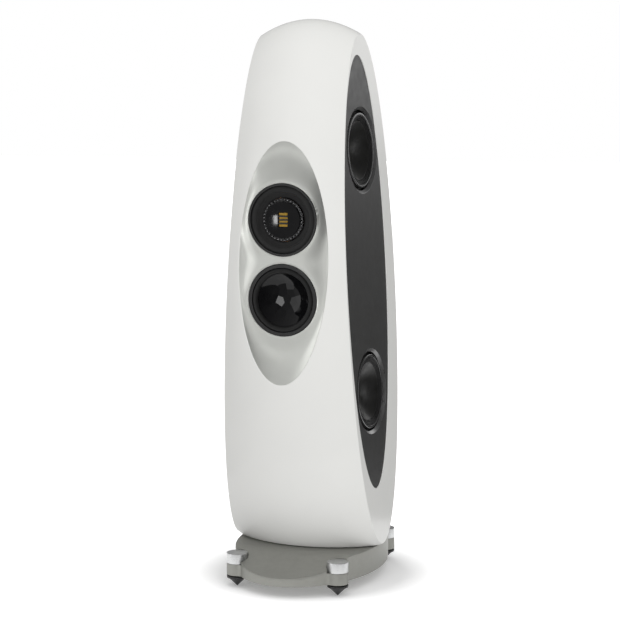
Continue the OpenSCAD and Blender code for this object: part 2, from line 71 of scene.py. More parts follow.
PLATE_A, PLATE_B, PLATE_T, PLATE_Z, PLATE_TOP = 156.0, 230.0, 12.0, 25.5, 78.0
RIM_Z, RAMP_L, RAMP_BEND, POCKET_GAP, PORT_HOLE_R = 43.5, 100.0, 0.55, 0.7, 47.0
FOOT_X, FOOT_Y, FOOT_R, BOSS_Z, CAP_H = 113.0, 160.0, 22.4, 50.3, 22.0
SPIKE_R, SPIKE_RIM_Z, SPIKE_RIM_H, TIP_R = 6.0, 23.5, 5.0, 1.5
BORE_R = SPIKE_R + 0.3
SLOT_INNER_R, SLOT_TOP, PIN_AT, PIN_R = 38.0, -4.6, 41.4, 1.15
DISH_RISE, WINDOW = 1.6, (22.0, 31.0)
BAR_HALF, BAR_H, BAR_Z, BAR_PITCH = 10.9, 2.2, -4.6, 7.4
FRONT_Y = OVAL_Y - OVAL_D

SIDES = ("right", "left")
CORNERS = {
    "front_right": (FOOT_X, -FOOT_Y),
    "front_left": (-FOOT_X, -FOOT_Y),
    "rear_right": (FOOT_X, FOOT_Y),
    "rear_left": (-FOOT_X, FOOT_Y),
}


# ---- materials

# The part of a noise's range that colour and roughness follow
NOISE_MIDDLE = (0.3, 0.7)


def node_tree(name):
    """A new node material: the material, its nodes, its links and its shader."""
    mat = bpy.data.materials.new(name)
    mat.use_nodes = True
    nodes, links = mat.node_tree.nodes, mat.node_tree.links
    return mat, nodes, links, nodes["Principled BSDF"]


def new_nodes(nodes, *kinds):
    return [nodes.new("ShaderNode" + kind) for kind in kinds]


def noise(nodes, links, scale, detail=3.0, stretch=(1, 1, 1)):
    """Noise over the object's own coordinates; scale is in cells per metre."""
    coords, mapping, tex = new_nodes(nodes, "TexCoord", "Mapping", "TexNoise")
    mapping.inputs["Scale"].default_value = stretch
    tex.inputs["Scale"].default_value = scale
    tex.inputs["Detail"].default_value = detail
    links.new(coords.outputs["Object"], mapping.inputs["Vector"])
    links.new(mapping.outputs["Vector"], tex.inputs["Vector"])
    return tex.outputs["Fac"]


def map_range(nodes, links, value, source, target, kind="LINEAR"):
    """A value mapped from the range source to the range target."""
    ramp = nodes.new("ShaderNodeMapRange")
    ramp.interpolation_type = kind
    for key, number in zip(("From Min", "From Max", "To Min", "To Max"), (*source, *target)):
        ramp.inputs[key].default_value = number
    links.new(value, ramp.inputs["Value"])
    return ramp.outputs["Result"]


def tint(nodes, links, value, dark, light):
    """A colour that varies between two with a noise."""
    ramp = nodes.new("ShaderNodeValToRGB")
    for stop, place, colour in zip(ramp.color_ramp.elements, NOISE_MIDDLE, (dark, light)):
        stop.position, stop.color = place, (*np.broadcast_to(colour, 3), 1)
    links.new(value, ramp.inputs["Fac"])
    return ramp.outputs["Color"]


def surface(name, dark, light, rough, grain, bump, metallic=0.0, coat=0.0, coat_rough=0.03,
            stretch=(1, 1, 1), specular=0.5, sheen=0.0):
    """A procedural surface: colour and roughness follow one noise, and a finer noise gives the bump.

    A plain number as a colour is a grey, grain is the first noise's scale, and bump is (scale, distance in
    metres).
    """
    mat, nodes, links, shader = node_tree(name)
    field = noise(nodes, links, grain, stretch=stretch)
    links.new(tint(nodes, links, field, dark, light), shader.inputs["Base Color"])
    links.new(map_range(nodes, links, field, NOISE_MIDDLE, rough), shader.inputs["Roughness"])
    for key, value in (("Metallic", metallic), ("Specular IOR Level", specular), ("Coat Weight", coat),
                       ("Coat Roughness", coat_rough), ("Sheen Weight", sheen)):
        shader.inputs[key].default_value = value
    relief = nodes.new("ShaderNodeBump")
    relief.inputs["Strength"].default_value = 1.0
    relief.inputs["Distance"].default_value = bump[1]
    links.new(noise(nodes, links, bump[0], 2.0, stretch), relief.inputs["Height"])
    links.new(relief.outputs["Normal"], shader.inputs["Normal"])
    return mat


WHITE = surface("white_lacquer", (0.845, 0.845, 0.822), (0.862, 0.862, 0.838), (0.16, 0.22), 9, (420, 4e-6),
                coat=0.05, coat_rough=0.05, specular=0.1)
SILVER = surface("waveguide_satin", (0.66, 0.67, 0.635), (0.69, 0.70, 0.665), (0.36, 0.44), 40, (1600, 1.2e-5),
                 metallic=0.8)
GRAPHITE = surface("panel_graphite", (0.058, 0.058, 0.057), (0.066, 0.066, 0.065), (0.40, 0.50), 60,
                   (1500, 2e-5), metallic=0.3, specular=0.8)
GRAPHITE_EDGE = surface("bevel_satin", 0.16, 0.2, (0.26, 0.34), 60, (1500, 1.2e-5), metallic=0.7)
TRIM = surface("trim_satin", 0.12, 0.15, (0.2, 0.28), 80, (1500, 8e-6), metallic=0.7)
GLOSS_BLACK = surface("cone_gloss", (0.004, 0.004, 0.0045), (0.006, 0.006, 0.0065), (0.05, 0.08), 50,
                      (700, 2e-6), specular=0.2)
CONE = surface("cone_graphite", (0.009, 0.009, 0.008), (0.013, 0.013, 0.012), (0.34, 0.44), 60, (1800, 1.6e-5),
               metallic=0.2, sheen=0.12)
# Black rubber of the surrounds and rolls. The same black on a woofer opening's wall and flange is painted
# shade, the dark of the deep gap round the woofer.
RUBBER_AND_GAP_SHADE = surface("rubber", 0.008, 0.012, (0.5, 0.62), 90, (1900, 3e-5), specular=0.3)
SURROUND = surface("coax_surround_matte", 0.013, 0.018, (0.55, 0.66), 90, (2200, 4e-5), specular=0.3)
BLACK = surface("black_plastic", 0.010, 0.015, (0.3, 0.42), 70, (1500, 2e-5))
BLACK_METAL = surface("black_metal", 0.008, 0.014, (0.12, 0.2), 60, (700, 6e-6), specular=0.4)
PLATE = surface("plate_grey", (0.27, 0.27, 0.248), (0.30, 0.30, 0.276), (0.40, 0.5), 70, (2000, 3e-5),
                metallic=0.45)
BRUSHED = surface("brushed_aluminium", (0.50, 0.505, 0.505), (0.54, 0.545, 0.545), (0.26, 0.34), 30, (60, 2e-6),
                  metallic=0.9, stretch=(1, 1, 40))
GOLD = surface("gold_plate", (0.72, 0.52, 0.16), (0.83, 0.62, 0.22), (0.16, 0.26), 120, (900, 1e-5),
               metallic=1.0)
FOIL = surface("ribbon_foil", (0.95, 0.70, 0.20), (1.0, 0.80, 0.30), (0.35, 0.5), 200, (1500, 2e-5),
               metallic=0.8)
SLOTS = surface("slot_ring_metal", 0.012, (0.03, 0.03, 0.031), (0.16, 0.28), 300, (900, 1e-5), metallic=0.9)
COPPER = surface("copper", (0.6, 0.27, 0.12), (0.72, 0.36, 0.17), (0.22, 0.36), 120, (1100, 3e-5),
                 metallic=0.95, stretch=(1, 1, 6))
STEEL = surface("steel", (0.5, 0.5, 0.51), (0.6, 0.6, 0.61), (0.25, 0.4), 90, (1200, 2e-5), metallic=0.95)
MAGNET = surface("magnet", (0.035, 0.035, 0.036), (0.06, 0.06, 0.062), (0.6, 0.75), 200, (900, 0.0001))
CLOTH = surface("spider_cloth", (0.55, 0.38, 0.14), (0.68, 0.5, 0.22), (0.75, 0.9), 260, (1400, 0.0001))
FIBRE = surface("fibreboard", (0.36, 0.25, 0.15), (0.5, 0.37, 0.24), (0.72, 0.86), 300, (900, 0.00012))
BOARD = surface("circuit_board", (0.012, 0.07, 0.03), (0.03, 0.13, 0.06), (0.3, 0.5), 160, (800, 3e-5),
                coat=0.3)


# ---- mesh helpers


def new_mesh(name, points, faces, materials):
    mesh = bpy.data.meshes.new(name)
    mesh.from_pydata(points, [], faces)
    for mat in materials:
        mesh.materials.append(mat)
    return mesh


def new_object(name, data):
    obj = bpy.data.objects.new(name, data)
    bpy.context.scene.collection.objects.link(obj)
    return obj


def full_turn(count):
    return np.linspace(0, 2 * math.pi, count, endpoint=False)


def raised(flat, z):
    """Flat points, set at a height."""
    return np.column_stack([flat, np.broadcast_to(z, len(flat))])


def bands(rows, count, flip=False):
    """Quads between rows of points that are stored row by row."""
    return stitch([list(range(k * count, (k + 1) * count)) for k in range(rows)], flip)


class Build:
    """Gathers points, faces and normals of one piece, in millimetres."""

    def __init__(self):
        self.points, self.normals, self.faces, self.slots = [], [], [], []

    def add(self, points, faces, normals=None, slot=0, where=None):
        points = np.asarray(points, float).reshape(-1, 3)
        normals = None if normals is None else np.asarray(normals, float).reshape(-1, 3)
        if where is not None:
            turn, shift = where
            points = points @ turn.T + shift
            normals = None if normals is None else normals @ turn.T
            if np.linalg.det(turn) < 0:
                faces = [tuple(reversed(f)) for f in faces]
        start = sum(len(p) for p in self.points)
        self.points.append(points)
        self.normals.append(normals)
        self.faces.extend(tuple(int(i) + start for i in f) for f in faces)
        self.slots.extend([slot] * len(faces))
        return self

    def add_flat(self, outline, holes, z, facing=1, where=None):
        """Adds a level face inside an outline, less its holes."""
        flat, faces = fill(outline, holes)
        if facing < 0:
            faces = [f[::-1] for f in faces]
        normals = np.tile([0.0, 0.0, facing], (len(flat), 1))
        self.add(raised(flat, z), faces, normals, where=where)

    def piece(self, name, body, materials, slot=None, replaces=(), sharp=35.0):
        """Makes the object. Given normals are kept, and otherwise edges over sharp degrees are hard."""
        mesh = new_mesh(name, (np.concatenate(self.points) * MM).tolist(), self.faces, materials)
        mesh.polygons.foreach_set("material_index", self.slots)
        mesh.polygons.foreach_set("use_smooth", [True] * len(self.faces))
        if all(n is not None for n in self.normals):
            given = np.concatenate(self.normals)
            given /= np.linalg.norm(given, axis=1, keepdims=True)
            mesh.normals_split_custom_set_from_vertices(given.tolist())
        else:
            mesh.set_sharp_from_angle(angle=math.radians(sharp))
        mesh.update()
        obj = new_object(name, mesh)
        if body:
            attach(obj, body)
        if replaces:
            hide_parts(*replaces)
        return obj


def unit(v):
    return v / np.linalg.norm(v, axis=-1, keepdims=True)


def smooth_step(t):
    t = np.clip(t, 0, 1)
    return t * t * (3 - 2 * t)


def stitch(rows, flip=False):
    """Quads between rows of point numbers, where each row is closed on itself."""
    faces = []
    for low, high in zip(rows[:-1], rows[1:]):
        count = len(low)
        for i in range(count):
            j = (i + 1) % count
            face = (low[i], low[j], high[j], high[i])
            faces.append(face[::-1] if flip else face)
    return faces


def grid_faces(columns, rows, closed=False):
    """Quads over a grid of points that are stored column by column."""
    faces = []
    for i in range(columns if closed else columns - 1):
        j = (i + 1) % columns
        faces.extend((i * rows + k, j * rows + k, j * rows + k + 1, i * rows + k + 1) for k in range(rows - 1))
    return faces


def bisect(inside, low, high, rounds=40):
    """The last values that are inside, between low, which is, and high, which isn't."""
    for _ in range(rounds):
        middle = (low + high) / 2
        within = inside(middle)
        low, high = np.where(within, middle, low), np.where(within, high, middle)
    return low


def clip(points, normals, faces, keep):
    """Cuts faces where keep(points) crosses zero and drops the negative side.

    Also returns the loops of points along the cut.
    """
    value = keep(points)
    crossed, kept, plans = {}, [], []
    for face in faces:
        signs = [value[i] > 0 for i in face]
        if all(signs):
            kept.append(face)
        elif any(signs):
            plan = []
            for i, j in zip(face, face[1:] + face[:1]):
                if value[i] > 0:
                    plan.append(("kept", i))
                if (value[i] > 0) != (value[j] > 0):
                    key = (i, j) if value[i] > 0 else (j, i)
                    crossed.setdefault(key, len(points) + len(crossed))
                    plan.append(("out" if value[i] > 0 else "in", crossed[key]))
            plans.append(plan)
    keys = np.array(list(crossed))
    p, q = points[keys[:, 0]], points[keys[:, 1]]
    share = bisect(lambda t: keep(p + (q - p) * t[:, None]) > 0, np.zeros(len(keys)), np.ones(len(keys)), 24)
    share = share[:, None]
    new_points = p + (q - p) * share
    new_normals = unit(normals[keys[:, 0]] * (1 - share) + normals[keys[:, 1]] * share)
    follow = {}
    for plan in plans:
        outs = [i for kind, i in plan if kind == "out"]
        ins = [i for kind, i in plan if kind == "in"]
        kept.append(tuple(i for _, i in plan))
        if len(outs) == 1:
            follow[outs[0]] = ins[0]
    loops, seen = [], set()
    for start in follow:
        if start in seen:
            continue
        loop, at = [], start
        while at in follow and at not in seen:
            seen.add(at)
            loop.append(at)
            at = follow[at]
        if len(loop) > 8:
            loops.append(loop)
    return np.vstack([points, new_points]), np.vstack([normals, new_normals]), kept, loops


def tidy(points, normals, faces):
    """Leaves out the points that no face uses."""
    used = sorted({i for f in faces for i in f})
    place = {old: new for new, old in enumerate(used)}
    return points[used], normals[used], [tuple(place[i] for i in f) for f in faces]


def roll_edge(build, points, normals, inward, radius, depth, steps=4, down=None, where=None):
    """Rounds the edge of a hole, or of a plate, from its face into a wall that goes down by depth."""
    down = -normals if down is None else np.broadcast_to(down, normals.shape)
    rows, row_normals = [], []
    for k in range(steps + 1):
        turn = math.pi / 2 * k / steps
        facing = normals * math.cos(turn) + inward * math.sin(turn)
        rows.append(points - normals * radius + facing * radius)
        row_normals.append(facing)
    rows.append(rows[-1] + down * depth)
    row_normals.append(inward)
    stacked, stacked_normals = np.concatenate(rows), np.concatenate(row_normals)
    first = np.cross(points[1] - points[0], rows[1][0] - points[0])
    flip = bool(first @ (row_normals[0][0] + row_normals[1][0]) < 0)
    build.add(stacked, bands(len(rows), len(points), flip=flip), stacked_normals, where=where)


def inward_of(keep, points, normals):
    """Unit directions in the surface towards the side that keep drops."""
    e = 0.01
    slope = np.stack([(keep(points + e * axis) - keep(points - e * axis)) for axis in np.eye(3)], -1)
    slope -= (slope * normals).sum(-1, keepdims=True) * normals
    return -unit(slope)


def cut_hole(build, mesh, keep, radius, depth, down, **how):
    """Cuts the points, normals and faces in mesh where keep crosses zero, rolls the new edges into walls and
    returns the rest."""
    points, normals, faces, loops = clip(*mesh, keep)
    for loop in loops:
        edge, facing = points[loop], normals[loop]
        roll_edge(build, edge, facing, inward_of(keep, edge, facing), radius, depth, down=down, **how)
    return points, normals, faces


def enclosed(points, outline):
    """Which points lie inside a closed outline."""
    inside = np.zeros(len(points), bool)
    for p, q in zip(outline, np.roll(outline, -1, 0)):
        if p[1] != q[1]:
            spans = (p[1] > points[:, 1]) != (q[1] > points[:, 1])
            inside ^= spans & (points[:, 0] < p[0] + (q[0] - p[0]) * (points[:, 1] - p[1]) / (q[1] - p[1]))
    return inside


def fill(outline, holes=()):
    """Triangles inside a flat outline, less its holes: the points and the faces, turned to +Z."""
    loops = [outline, *holes]
    flat = [Vector((float(p[0]), float(p[1]))) for loop in loops for p in loop]
    edges, start = [], 0
    for loop in loops:
        edges.extend((start + i, start + (i + 1) % len(loop)) for i in range(len(loop)))
        start += len(loop)
    points, _, faces, _, _, _ = delaunay_2d_cdt(flat, edges, [], 1, 1e-5)
    points = np.array([[p.x, p.y] for p in points])
    middles = np.array([points[list(f)].mean(0) for f in faces])
    in_hole = np.zeros(len(faces), bool)
    for hole in holes:
        in_hole |= enclosed(middles, np.asarray(hole))
    turned = []
    for f, skip in zip(faces, in_hole):
        if skip:
            continue
        a, b, c = points[f[0]], points[f[1]], points[f[2]]
        area = (b[0] - a[0]) * (c[1] - a[1]) - (b[1] - a[1]) * (c[0] - a[0])
        turned.append(tuple(f) if area > 0 else tuple(reversed(f)))
    return points, turned


def lathe(profile, segments=144):
    """Turns (radius, height) points round Z. For an upward face, the profile runs outward."""
    angles = full_turn(segments)
    points, rows = [], []
    for r, h in profile:
        if r < 1e-6:
            rows.append([len(points)])
            points.append((0.0, 0.0, h))
        else:
            rows.append(list(range(len(points), len(points) + segments)))
            points.extend((r * math.cos(t), r * math.sin(t), h) for t in angles)
    faces = []
    for low, high in zip(rows[:-1], rows[1:]):
        for i in range(segments):
            j = (i + 1) % segments
            if len(low) == 1:
                faces.append((low[0], high[i], high[j]))
            elif len(high) == 1:
                faces.append((low[i], high[0], low[j]))
            else:
                faces.append((low[i], high[i], high[j], low[j]))
    return points, faces


def arc(centre, radius, start, end, steps=6):
    """Profile points on a circle between two angles in degrees."""
    angles = np.radians(np.linspace(start, end, steps + 1))
    return [(centre[0] + radius * math.cos(t), centre[1] + radius * math.sin(t)) for t in angles]


# ---- shared positions


def turn_y(t):
    c, s = math.cos(t), math.sin(t)
    return np.array([[c, 0, s], [0, 1, 0], [-s, 0, c]])


def turn_z(t):
    c, s = math.cos(t), math.sin(t)
    return np.array([[c, -s, 0], [s, c, 0], [0, 0, 1]])


def side_x(y, z):
    """Half width of the cabinet at a side face."""
    return HALF_W - math.tan(LEAN) * (z - OVAL_Z) + math.tan(FLARE) * (y - FRONT_Y)


def on_side(side, x=0.0, y=0.0):
    """The turn and shift onto a side face: +Z outward, +X down, +Y to the back."""
    mirror = np.diag([1.0 if side == "right" else -1.0, 1.0, 1.0])
    turn = turn_z(-FLARE) @ turn_y(-LEAN) @ turn_y(math.pi / 2)
    shift = turn @ np.array([x, y, 0.0]) + np.array([side_x(OVAL_Y, OVAL_Z), OVAL_Y, OVAL_Z])
    return mirror @ turn, mirror @ shift


def at_woofer(side, level):
    back, up = WOOFER_AT[level]
    return on_side(side, -up, back)


def at_front(z):
    """The turn and shift onto the front drivers' plane: +Z forward, +X to the right, +Y up."""
    return np.array([[1.0, 0, 0], [0, 0, -1.0], [0, 1.0, 0]]), np.array([0, RING_Y, z])


def at(x, y):
    return np.eye(3), np.array([x, y, 0.0])


def skin(a, s):
    """A point of the lacquered skin at the oval's angle a, and across the width at s from -1 to 1."""
    y = OVAL_Y + OVAL_D * np.cos(a)
    z = OVAL_Z + OVAL_H * np.sin(a)
    ny, nz = np.cos(a) / OVAL_D, np.sin(a) / OVAL_H
    size = np.hypot(ny, nz)
    rise = (SWELL + (TOP_SWELL - SWELL) * np.maximum(0, np.sin(a)) ** 2) * (1 - s * s)
    return np.stack([s * side_x(y, z), y + ny / size * rise, z + nz / size * rise], -1)


def skin_normal(a, s):
    e = 1e-4
    return unit(np.cross(skin(a + e, s) - skin(a - e, s), skin(a, s + e) - skin(a, s - e)))


def skin_y(x, z):
    """Depth of the front skin at x and z."""
    a = math.pi - np.arcsin(np.clip((z - OVAL_Z) / OVAL_H, -0.98, 0.98))
    for _ in range(12):
        y0, z0 = OVAL_Y + OVAL_D * np.cos(a), OVAL_Z + OVAL_H * np.sin(a)
        s = x / side_x(y0, z0)
        e = 1e-5
        off = skin(a, s)[..., 2] - z
        slope = (skin(a + e, s)[..., 2] - skin(a - e, s)[..., 2]) / (2 * e)
        a = a - off / slope
    return skin(a, s)[..., 1]


# ---- cabinet

# Radii of the crease round each side face and of the lips of the front and rear openings
CREASE_R, LIP_R = 2.5, 1.2
# Steps round a side panel and the radius of its edge
PANEL_STEPS, PANEL_EDGE = 360, 0.6


def guide_oval(points):
    """Over 0 outside the oval opening for the waveguide, in the front."""
    x, z = points[..., 0] / (GUIDE_A + LIP_R), (points[..., 2] - GUIDE_Z) / (GUIDE_B + LIP_R)
    return np.maximum(x * x + z * z - 1, (points[..., 1] + 60) / 100)


def box_distance(x, y, half_x, half_y, corner):
    """Distance outside a rectangle with rounded corners."""
    dx, dy = np.abs(x) - half_x + corner, np.abs(y) - half_y + corner
    return np.hypot(np.maximum(dx, 0), np.maximum(dy, 0)) + np.minimum(np.maximum(dx, dy), 0) - corner


def tray_cut(points):
    """Distance outside the rounded opening for the terminals, in the rear."""
    middle, half = (TRAY_HIGH + TRAY_LOW) / 2, (TRAY_HIGH - TRAY_LOW) / 2
    outside = box_distance(points[..., 0], points[..., 2] - middle, TRAY_X + LIP_R, half + LIP_R, 5.0)
    return np.maximum(outside, -points[..., 1])


def ellipse(a, b, count, centre=(0.0, 0.0)):
    t = full_turn(count)
    return np.stack([centre[0] + a * np.cos(t), centre[1] + b * np.sin(t)], 1)


def ellipse_out(a, b, count):
    t = full_turn(count)
    return unit(np.stack([np.cos(t) / a, np.sin(t) / b, 0 * t], 1))


def cabinet():
    around, across, arc_steps = 480, 64, 5
    face = unit(np.array([1.0, -math.tan(FLARE), math.tan(LEAN)]))
    face_d = face @ np.array([side_x(OVAL_Y, OVAL_Z), OVAL_Y, OVAL_Z])
    a = full_turn(around)

    def inside(s):
        return (skin(a, s) - CREASE_R * skin_normal(a, s)) @ face < face_d - CREASE_R

    edge = bisect(inside, np.full(around, 0.9), np.ones(around))
    share = np.linspace(-1, 1, across + 1)
    aa, ss = np.meshgrid(a, share, indexing="ij")
    ss = ss * edge[:, None]
    middle, middle_n = skin(aa, ss), skin_normal(aa, ss)
    last, last_n = middle[:, -1], middle_n[:, -1]
    centre = last - CREASE_R * last_n
    angle = np.arccos(np.clip(last_n @ face, -1, 1))
    arcs, arcs_n = [], []
    for k in range(1, arc_steps + 1):
        t = k / arc_steps
        n = unit((np.sin((1 - t) * angle) / np.sin(angle))[:, None] * last_n
                 + (np.sin(t * angle) / np.sin(angle))[:, None] * face)
        arcs.append(centre + CREASE_R * n)
        arcs_n.append(n)
    flip_x = np.array([-1.0, 1, 1])
    arcs, arcs_n = np.stack(arcs, 1), np.stack(arcs_n, 1)
    points = np.concatenate([arcs[:, ::-1] * flip_x, middle, arcs], 1)
    normals = np.concatenate([arcs_n[:, ::-1] * flip_x, middle_n, arcs_n], 1)
    faces = grid_faces(around, points.shape[1], closed=True)
    points, normals = points.reshape(-1, 3), normals.reshape(-1, 3)
    build = Build()
    cut = points, normals, faces
    for keep, depth, back in ((guide_oval, 16.0, 1.0), (tray_cut, 8.0, -1.0)):
        cut = cut_hole(build, cut, keep, LIP_R, depth, (0, back, 0))
    points, normals, faces, loops = clip(*cut, lambda p: p[..., 2] - UNDER_Z)
    under = points[max(loops, key=len), :2]
    points, normals, faces = tidy(points, normals, faces)
    build.add(points, faces, normals)

    # The flat underside with the mouth of the port
    build.add_flat(under, [ellipse(PORT_MOUTH_R, PORT_MOUTH_R, 64, (0, PORT_Y))], UNDER_Z, -1)

    # The flat side faces round the recessed panels
    for side in SIDES:
        turn, shift = on_side(side)
        rim = arcs[:, -1] * (flip_x if side == "left" else 1)
        local = (rim - shift) @ turn
        pocket = (-PANEL_AT[1], PANEL_AT[0])
        hole = ellipse(PANEL_H + 0.9, PANEL_D + 0.9, PANEL_STEPS, pocket)
        build.add_flat(local[:, :2], [hole], 0.0, where=(turn, shift))
        inward = -ellipse_out(PANEL_H, PANEL_D, PANEL_STEPS)
        roll_edge(build, raised(hole, 0.0), np.tile([0, 0, 1.0], (PANEL_STEPS, 1)), inward, PANEL_EDGE,
                  PANEL_T - PANEL_EDGE, where=(turn, shift))
    return build.piece("cabinet_skin", "cabinet", [WHITE], "white_lacquer", ["cabinet_shell"])


# ---- waveguide

# Depth of the dish's floor at its middle, how far the floor leans back over half the height, and how far
# the collars reach
GUIDE_FLOOR_Y, GUIDE_LEAN, COLLAR_REACH = -169.0, 12.0, 46.0
# Gap of the flat land round a driver's ring, its width, and its depth behind the ring's face
LAND_GAP, LAND_W, LAND_SINK = 1.2, 2.0, 0.4


def guide_y(x, z):
    """Depth of the waveguide's surface: a dish from the skin's oval rim, with a collar round each driver."""

    def raw(x, z, rim):
        rho = np.hypot(x / GUIDE_A, (z - GUIDE_Z) / GUIDE_B)
        floor = GUIDE_FLOOR_Y + (z - GUIDE_Z) * GUIDE_LEAN / GUIDE_B
        w = np.clip(rho, 0, 1.02) ** 4
        y = floor * (1 - w) + rim * w
        apart = 1.0
        for driver in (COAX_Z, MID_Z):
            r = np.maximum(np.hypot(x, z - driver), 1.0)
            t = np.maximum(0, r - RING_R - LAND_GAP - LAND_W / 2)
            reach = COLLAR_REACH * (0.4 + 0.6 * ((z - driver) / r) ** 2)
            apart = apart * (1 - np.exp(-(t / reach) ** 2))
        return y + (RING_Y - y) * (1 - apart)

    angle = np.arctan2((z - GUIDE_Z) / GUIDE_B, x / GUIDE_A)
    rim_x, rim_z = GUIDE_A * np.cos(angle), GUIDE_Z + GUIDE_B * np.sin(angle)
    rim = skin_y(rim_x, rim_z) + 0.6
    rho = np.hypot(x / GUIDE_A, (z - GUIDE_Z) / GUIDE_B)
    y = raw(x, z, rim) + (rim - raw(rim_x, rim_z, rim)) * np.clip(rho, 0, 1.02) ** 10
    for driver in (COAX_Z, MID_Z):
        rise = smooth_step((np.hypot(x, z - driver) - RING_R - LAND_GAP) / LAND_W)
        y = RING_Y + LAND_SINK + (y - RING_Y - LAND_SINK) * rise
    return y


def waveguide():
    step = 2.5
    xs = np.arange(-GUIDE_A - step, GUIDE_A + 2 * step, step)
    zs = np.arange(GUIDE_Z - GUIDE_B - step, GUIDE_Z + GUIDE_B + 2 * step, step)
    xx, zz = np.meshgrid(xs, zs, indexing="ij")
    yy = guide_y(xx, zz)
    e = 0.4
    dx = (guide_y(xx + e, zz) - guide_y(xx - e, zz)) / (2 * e)
    dz = (guide_y(xx, zz + e) - guide_y(xx, zz - e)) / (2 * e)
    points = np.stack([xx, yy, zz], -1).reshape(-1, 3)
    normals = unit(np.stack([dx, -np.ones_like(dx), dz], -1)).reshape(-1, 3)
    faces = grid_faces(len(xs), len(zs))
    build = Build()

    def keep_rim(p):
        return 1 - np.hypot(p[..., 0] / (GUIDE_A - 0.9), (p[..., 2] - GUIDE_Z) / (GUIDE_B - 0.9))

    cut = cut_hole(build, (points, normals, faces), keep_rim, 0.6, 8.0, (0, 1.0, 0), steps=3)
    for driver in (COAX_Z, MID_Z):
        cut = cut_hole(build, cut, lambda p, z=driver: np.hypot(p[..., 0], p[..., 2] - z) - RING_R - 0.7,
                       0.4, 5.0, (0, 1.0, 0), steps=3)
    points, normals, faces = tidy(*cut)
    build.add(points, faces, normals)
    return build.piece("waveguide", "cabinet", [SILVER], "waveguide_satin", ["front_waveguide"])


# ---- side panels

# Depth of a panel's face behind the cabinet's side, and steps round a woofer's bevel
PANEL_SINK, BEVEL_STEPS = 1.2, 180


def side_panels():
    for side in SIDES:
        build = Build()
        turn, shift = where = on_side(side)
        half = (PANEL_H - 0.4, PANEL_D - 0.4)
        top = ellipse(half[0] - PANEL_EDGE, half[1] - PANEL_EDGE, PANEL_STEPS, (-PANEL_AT[1], PANEL_AT[0]))
        holes = [ellipse(BEVEL_R, BEVEL_R, BEVEL_STEPS, (-height, back)) for back, height in WOOFER_AT.values()]
        build.add_flat(top, holes, -PANEL_SINK, where=where)
        roll_edge(build, raised(top, -PANEL_SINK), np.tile([0, 0, 1.0], (PANEL_STEPS, 1)),
                  ellipse_out(*half, PANEL_STEPS), PANEL_EDGE, 4.0, where=where)
        for back, height in WOOFER_AT.values():
            slope = BEVEL_R - 0.4 - OPENING_R
            neck = (OPENING_R, -PANEL_SINK - slope * 0.78)
            # The opening's wall is a real face, coloured black as painted shade for the deep gap between the
            # bevel and the woofer's trim.
            wall = [((OPENING_R, -PANEL_T - 6), (-1, 0)), (neck, (-1, 0.1))]
            bevel = [(neck, (-1, 0.3)), ((OPENING_R + 0.5, -PANEL_SINK - slope * 0.72), (-0.64, 0.77)),
                     ((BEVEL_R - 0.6, -PANEL_SINK - 0.45), (-0.64, 0.77)), ((BEVEL_R, -PANEL_SINK), (-0.1, 1))]
            for profile, slot in ((bevel, 1), (wall, 2)):
                points, faces = lathe([place for place, _ in profile], BEVEL_STEPS)
                circle = ellipse(1, 1, BEVEL_STEPS)
                normals = np.concatenate([raised(r * circle, h) for _, (r, h) in profile])
                middle = shift + turn @ np.array([-height, back, 0])
                build.add(points, faces, unit(normals), slot, (turn, middle))
        build.piece(f"side_panel_{side}_plate", "cabinet", [GRAPHITE, GRAPHITE_EDGE, RUBBER_AND_GAP_SHADE], "panel_graphite",
                    [f"side_panel_{side}"])


# ---- drivers


def turned(name, body, mat, profile, where, slot, replaces=(), segments=144, sharp=35.0):
    points, faces = lathe(profile, segments)
    return Build().add(points, faces, where=where).piece(name, body, [mat], slot, replaces, sharp)


def soften(obj):
    """Bakes the piece's place into its mesh."""
    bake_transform(obj)


def dish(radius, rim, depth, count):
    """Profile of a round dish from its middle to its rim."""
    return [(radius * i / count, rim - depth * (1 - (i / count) ** 2)) for i in range(count + 1)]


